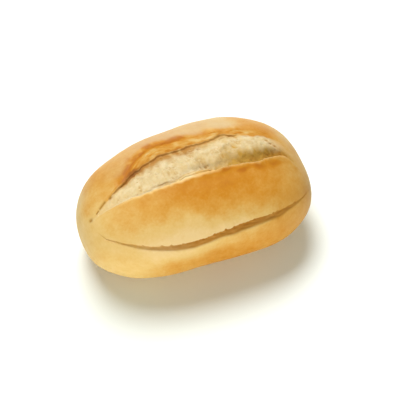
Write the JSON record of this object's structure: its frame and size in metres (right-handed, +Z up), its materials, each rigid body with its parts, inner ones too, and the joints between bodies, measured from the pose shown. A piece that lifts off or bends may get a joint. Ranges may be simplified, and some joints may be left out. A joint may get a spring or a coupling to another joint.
{
  "type": "bread roll",
  "caption": "Oval crusty bread roll with a burst lengthwise score over its top, a narrow shut score along its front and a flat base to rest on.",
  "frame": {"origin": "centre of the roll's box on the floor it rests on", "axes": "+X along the roll towards its wider end, +Y towards its back, away from the narrow score, +Z up"},
  "size_m": [0.1252, 0.0796, 0.0568],
  "materials": {
    "baked_crust": "matte, dry, baked"
  },
  "bodies": {
    "root": {"roll": "baked_crust"}
  },
  "joints": []
}
